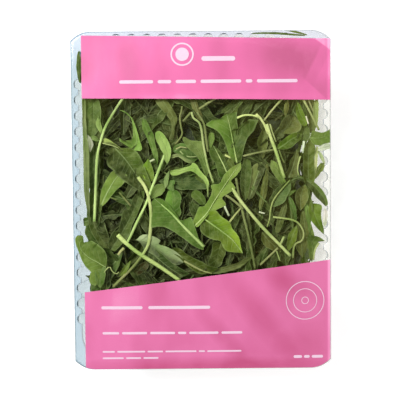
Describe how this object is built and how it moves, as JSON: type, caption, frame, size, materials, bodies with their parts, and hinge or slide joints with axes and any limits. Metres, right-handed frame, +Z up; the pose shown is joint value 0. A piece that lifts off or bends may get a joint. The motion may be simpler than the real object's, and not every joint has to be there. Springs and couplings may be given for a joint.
{
  "type": "sealed tray of rocket leaves",
  "caption": "Clear fluted plastic tray packed with rocket salad leaves, closed by a clear film with a pink printed band at each end.",
  "frame": {"origin": "centre of the tray's outline, on the surface the tray stands on", "axes": "+Z up out of the film, +Y towards the top edge of the print, +X to the right when the print is read"},
  "size_m": [0.18, 0.236, 0.0583],
  "materials": {
    "tray_plastic": "clear thermoformed plastic, glossy with soft folds at the flutes",
    "leaf": "fresh rocket leaf, satin with paler midribs and stems",
    "film": "clear taut lidding film, glossy with faint haze",
    "print_ink": "pink ink on glossy film, slightly see-through"
  },
  "bodies": {
    "root": {"tray": "tray_plastic", "leaves": "leaf", "lid_film": "film", "print_top": "print_ink", "print_bottom": "print_ink"}
  },
  "joints": []
}
